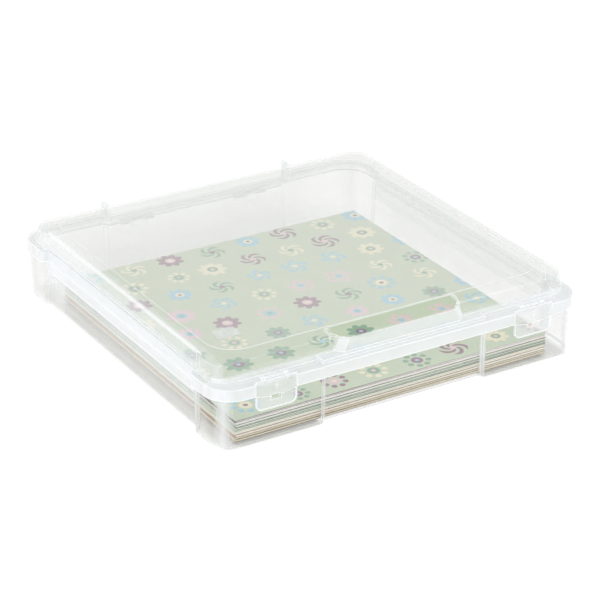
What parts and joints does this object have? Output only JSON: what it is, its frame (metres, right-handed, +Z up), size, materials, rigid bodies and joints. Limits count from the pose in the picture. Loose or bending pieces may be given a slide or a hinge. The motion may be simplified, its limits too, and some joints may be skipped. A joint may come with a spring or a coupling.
{
  "type": "paper storage case",
  "caption": "Shallow clear plastic case with a hinged lid, a hand hole at the front and snap latches, holding a stack of square paper.",
  "frame": {"origin": "centre of the case's footprint, on the surface that it stands on", "axes": "+X to the right along the front, +Y towards the hinge at the back, +Z up"},
  "size_m": [0.358, 0.364, 0.0729],
  "materials": {
    "base_tray": "clear polypropylene, slightly milky, glossy outside",
    "lid": "clear polypropylene, slightly milky, glossy outside",
    "latch_left": "clear polypropylene, slightly milky, glossy outside",
    "latch_right": "clear polypropylene, slightly milky, glossy outside",
    "paper_plum": "matte printed paper",
    "paper_cream": "matte printed paper",
    "paper_green": "matte printed paper",
    "paper_rust": "matte printed paper",
    "paper_olive": "matte printed paper",
    "paper_rose": "matte printed paper",
    "top_sheet": "matte printed paper, pale green with round motifs"
  },
  "bodies": {
    "base": {"base_tray": "base_tray", "paper_pack_01": "paper_plum", "paper_pack_02": "paper_olive", "paper_pack_03": "paper_rust", "paper_pack_04": "paper_olive", "paper_pack_05": "paper_cream", "paper_pack_06": "paper_olive", "paper_pack_07": "paper_rust", "paper_pack_08": "paper_cream", "paper_pack_09": "paper_green", "paper_pack_10": "paper_plum", "paper_pack_11": "paper_green", "paper_pack_12": "paper_cream", "top_sheet": "top_sheet"},
    "lid": {"lid": "lid"},
    "latch_left": {"latch_left": "latch_left"},
    "latch_right": {"latch_right": "latch_right"}
  },
  "joints": [
    {"name": "lid_hinge", "type": "hinge", "parent": "base", "child": "lid", "pos_m": [0, 0.1792, 0.0432], "axis": [-1, 0, 0], "range_deg": [0, 100]},
    {"name": "latch_left_hinge", "type": "hinge", "parent": "lid", "child": "latch_left", "pos_m": [-0.1255, -0.1776, 0.057], "axis": [-1, 0, 0], "range_deg": [0, 120]},
    {"name": "latch_right_hinge", "type": "hinge", "parent": "lid", "child": "latch_right", "pos_m": [0.1255, -0.1776, 0.057], "axis": [-1, 0, 0], "range_deg": [0, 120]}
  ]
}
